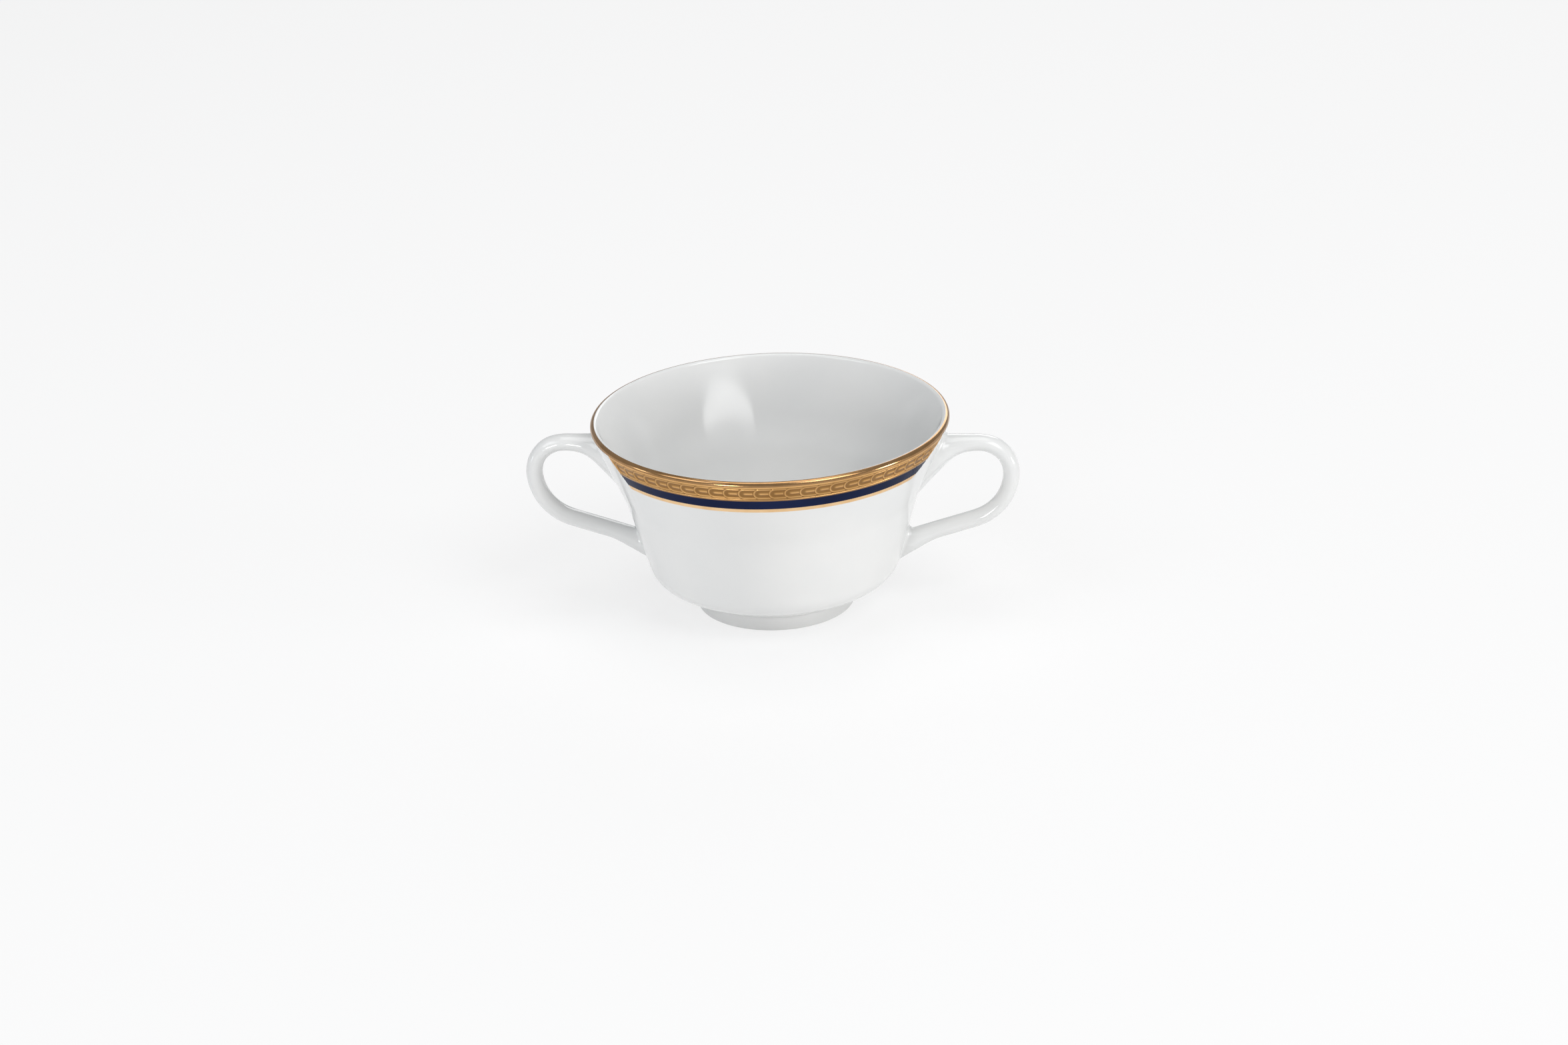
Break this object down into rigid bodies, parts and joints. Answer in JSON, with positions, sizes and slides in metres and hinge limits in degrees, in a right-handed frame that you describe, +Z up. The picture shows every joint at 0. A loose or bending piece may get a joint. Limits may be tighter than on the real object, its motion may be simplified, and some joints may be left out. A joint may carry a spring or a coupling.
{
  "type": "bouillon cup",
  "caption": "Porcelain bouillon cup with a flared lip, a carved leaf chain, opposite loop handles with flared roots, and a ring foot.",
  "frame": {"origin": "centre of the foot ring's underside, on the plane the cup stands on", "axes": "+Z up along the axis of the bowl, +X through the middle of one handle, -X through the other"},
  "size_m": [0.1524, 0.11, 0.0615],
  "materials": {
    "porcelain": "clear gloss glaze, gilded and cobalt blue bands under the rim, bare foot ring"
  },
  "bodies": {
    "root": {"cup": "porcelain"}
  },
  "joints": []
}
